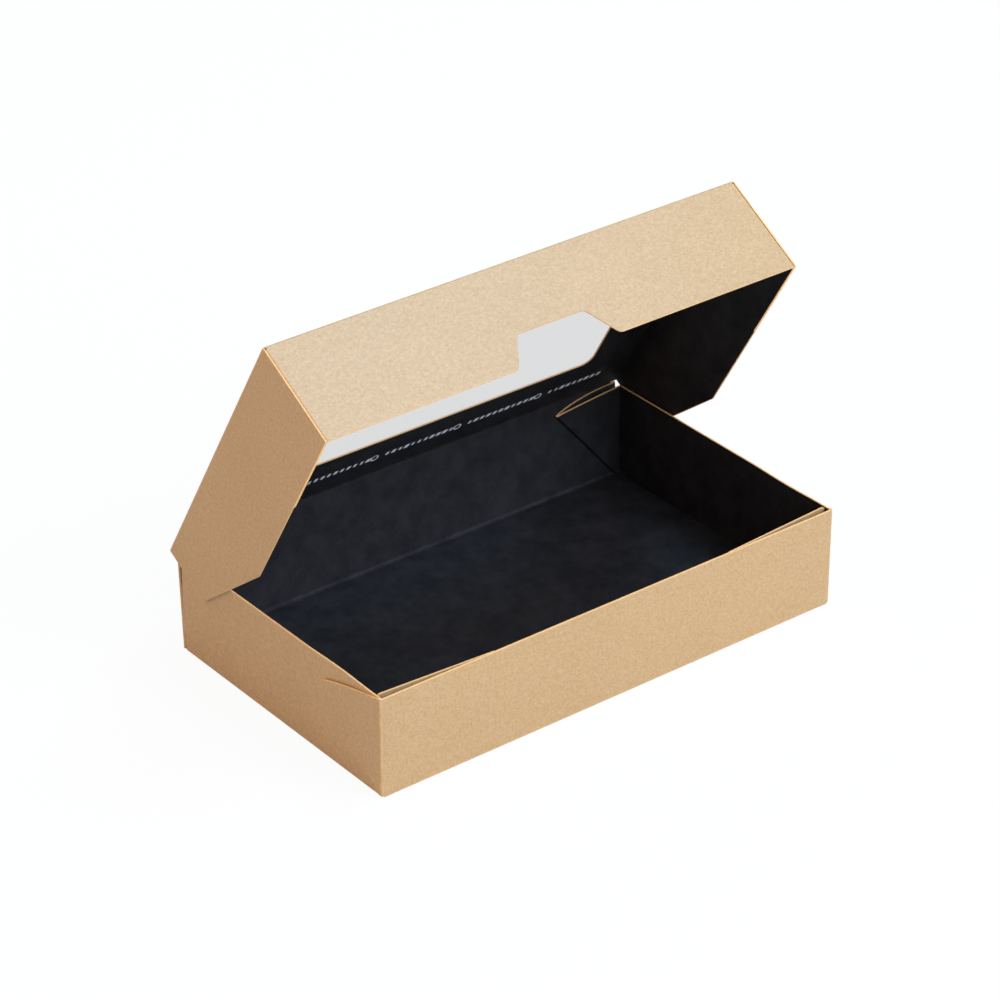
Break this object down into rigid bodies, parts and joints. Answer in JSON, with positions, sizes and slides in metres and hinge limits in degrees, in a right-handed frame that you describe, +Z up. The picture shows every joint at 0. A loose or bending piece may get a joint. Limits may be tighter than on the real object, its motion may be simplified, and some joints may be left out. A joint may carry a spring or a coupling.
{
  "type": "takeaway box",
  "caption": "Shallow folded board food carton with a black printed inside and a hinged windowed lid held open at a slant.",
  "frame": {"origin": "middle of the tray's underside", "axes": "+X along the box's width, +Y from the front wall to the hinged back wall, +Z up from the underside"},
  "size_m": [0.2326, 0.14, 0.1671],
  "materials": {
    "kraft_board": "matt uncoated kraft outside, matt black print inside",
    "clear_film": "clear glossy film"
  },
  "bodies": {
    "tray": {"tray": "kraft_board"},
    "lid": {"lid": "kraft_board", "window_film": "clear_film"}
  },
  "joints": [
    {"name": "lid_hinge", "type": "hinge", "parent": "tray", "child": "lid", "pos_m": [0, 0.07215, 0.04565], "axis": [-1, 0, 0], "range_deg": [-59.7, 120]}
  ]
}
